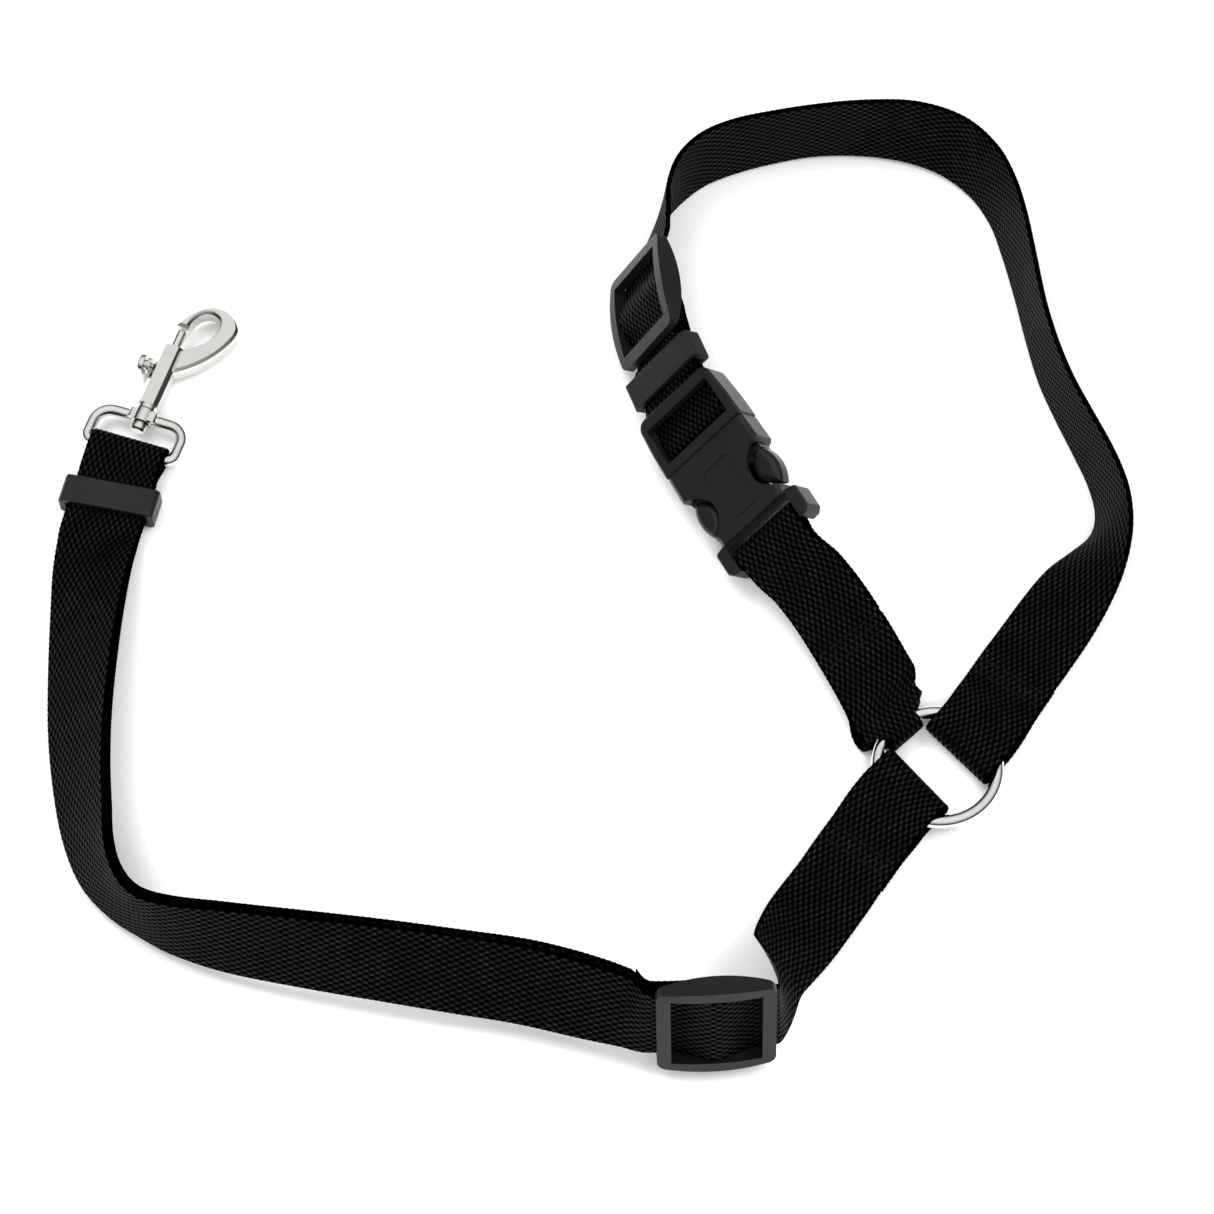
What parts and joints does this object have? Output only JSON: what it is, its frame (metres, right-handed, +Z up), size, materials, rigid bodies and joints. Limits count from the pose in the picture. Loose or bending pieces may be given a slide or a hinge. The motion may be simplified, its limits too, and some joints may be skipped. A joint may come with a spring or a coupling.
{
  "type": "grooming restraint loop with tether",
  "caption": "Adjustable webbing loop with a side-release buckle, joined by a welded ring to an adjustable tether with a swivel bolt snap.",
  "frame": {"origin": "on the surface it lies on, under the middle of the whole object", "axes": "+Z up off the surface; +Y from the ring towards the far end of the loop; +X from the tether's snap towards the loop"},
  "size_m": [0.3314, 0.3272, 0.0351],
  "materials": {
    "webbing": "ribbed black polyester webbing",
    "thread": "black bonded thread",
    "slider_plastic": "satin moulded acetal",
    "buckle_plastic": "satin moulded acetal",
    "buckle_buttons": "satin moulded acetal, slightly glossier",
    "polished_metal": "nickel plated, polished",
    "spring_steel": "bright drawn wire"
  },
  "bodies": {
    "webbing": {"loop_strap": "webbing", "buckle_strap": "webbing", "tether_strap": "webbing", "tether_slider": "slider_plastic", "buckle_socket": "buckle_plastic", "loop_ring_stitches": "thread", "tether_ring_stitches": "thread", "buckle_strap_stitches": "thread"},
    "ring": {"o_ring": "polished_metal"},
    "tether_keeper_band": {"tether_keeper": "slider_plastic"},
    "plug_side": {"buckle_plug": "buckle_plastic", "loop_slider": "slider_plastic"},
    "loop_keeper_band": {"loop_keeper": "slider_plastic"},
    "left_latch": {"latch_arm_left": "buckle_buttons"},
    "right_latch": {"latch_arm_right": "buckle_buttons"},
    "eye": {"snap_eye": "polished_metal"},
    "snap": {"snap_body": "polished_metal", "swivel_rivet": "polished_metal", "snap_spring": "spring_steel"},
    "bolt": {"snap_bolt": "polished_metal", "snap_thumb_knob": "polished_metal"}
  },
  "joints": [
    {"name": "ring_turn", "type": "hinge", "parent": "webbing", "child": "ring", "pos_m": [0.10379, -0.06776, 0.00424], "axis": [0, 0, 1], "continuous": true},
    {"name": "tether_keeper_slide", "type": "slide", "parent": "webbing", "child": "tether_keeper_band", "axis": [0.2079, 0.9781, 0], "range_m": [-0.006, 0.002]},
    {"name": "buckle_release", "type": "slide", "parent": "webbing", "child": "plug_side", "axis": [-0.4848, 0.8746, 0], "range_m": [0, 0.032], "deforming": ["loop_strap", "latch_arm_left", "latch_arm_right"]},
    {"name": "loop_keeper_slide", "type": "slide", "parent": "plug_side", "child": "loop_keeper_band", "axis": [0.3584, -0.9336, 0], "range_m": [-0.0025, 0.0025], "deforming": ["loop_strap"]},
    {"name": "right_latch_squeeze", "type": "hinge", "parent": "plug_side", "child": "right_latch", "pos_m": [0.04364, 0.04059, 0.02187], "axis": [-0.5504, -0.3051, 0.7771], "range_deg": [-8, 0], "stiffness_Nm_per_rad": 0.05},
    {"name": "left_latch_squeeze", "type": "hinge", "parent": "plug_side", "child": "left_latch", "pos_m": [0.03059, 0.03335, 0.00979], "axis": [-0.5504, -0.3051, 0.7771], "range_deg": [0, 8], "stiffness_Nm_per_rad": 0.05},
    {"name": "snap_eye_fold", "type": "hinge", "parent": "webbing", "child": "eye", "pos_m": [-0.14521, 0.04224, 0.00414], "axis": [0.9511, -0.309, 0], "range_deg": [-75, 75]},
    {"name": "snap_swivel", "type": "hinge", "parent": "eye", "child": "snap", "pos_m": [-0.14088, 0.05556, 0.00414], "axis": [0.309, 0.9511, 0], "continuous": true},
    {"name": "bolt_pull", "type": "slide", "parent": "snap", "child": "bolt", "axis": [-0.309, -0.9511, 0], "range_m": [0, 0.006], "stiffness_N_per_m": 300, "springref_m": -0.004, "deforming": ["snap_spring"]}
  ],
  "couplings": [
    {"joint": "left_latch_squeeze", "follows": "right_latch_squeeze", "ratio": -1}
  ]
}
